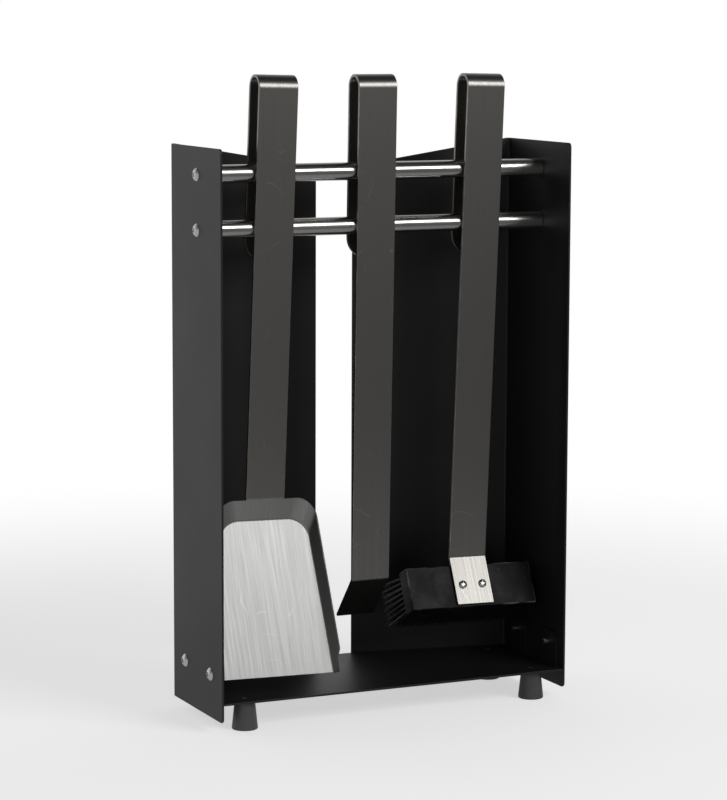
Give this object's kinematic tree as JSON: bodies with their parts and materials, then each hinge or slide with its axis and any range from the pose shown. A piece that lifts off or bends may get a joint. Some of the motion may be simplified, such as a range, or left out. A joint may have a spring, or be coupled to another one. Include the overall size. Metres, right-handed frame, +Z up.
{
  "type": "fireplace tool set",
  "caption": "Fireplace tool set: shovel, poker and brush with looped flat steel handles, hanging from two round rails in an open-fronted black sheet-steel stand on rubber feet.",
  "frame": {"origin": "centre of the stand's footprint box, on the floor plane that the four feet rest on", "axes": "+Z up, +X to the right and +Y to the back as seen from the open front"},
  "size_m": [0.346, 0.1434, 0.5719],
  "materials": {
    "black_coat": "fine matt black powder coat",
    "satin_steel": "satin, turned round bar",
    "brushed_bar": "brushed along its length, slightly dark",
    "brushed_sheet": "bright, brushed from mouth to rear",
    "zinc_steel": "bright zinc plate",
    "foot_rubber": "smooth moulded",
    "black_block": "matt black paint, scuffed at the edges",
    "bristle": "fine black bristles"
  },
  "bodies": {
    "root": {"left_side_panel": "black_coat", "right_side_panel": "black_coat", "base_plate": "black_coat", "upper_rail": "satin_steel", "lower_rail": "satin_steel", "upper_rail_screws": "zinc_steel", "lower_rail_screws": "zinc_steel", "left_base_screws": "zinc_steel", "right_base_screws": "zinc_steel", "front_left_foot": "foot_rubber", "front_right_foot": "foot_rubber", "rear_left_foot": "foot_rubber", "rear_right_foot": "foot_rubber", "foot_studs": "zinc_steel"},
    "shovel": {"shovel_handle": "brushed_bar", "shovel_pan": "brushed_sheet", "shovel_stop_pin": "satin_steel"},
    "poker": {"poker_bar": "brushed_bar", "poker_stop_pin": "satin_steel"},
    "brush": {"brush_handle": "brushed_bar", "brush_block": "black_block", "brush_bristles": "bristle", "brush_block_screws": "zinc_steel", "brush_stop_pin": "satin_steel"}
  },
  "joints": [
    {"name": "shovel_lift", "type": "slide", "parent": "root", "child": "shovel", "axis": [0.0244, -0.0297, 0.9993], "range_m": [0, 0.09]},
    {"name": "poker_lift", "type": "slide", "parent": "root", "child": "poker", "axis": [0, -0.0297, 0.9996], "range_m": [0, 0.09]},
    {"name": "brush_lift", "type": "slide", "parent": "root", "child": "brush", "axis": [0.0209, -0.0297, 0.9993], "range_m": [0, 0.09]}
  ]
}
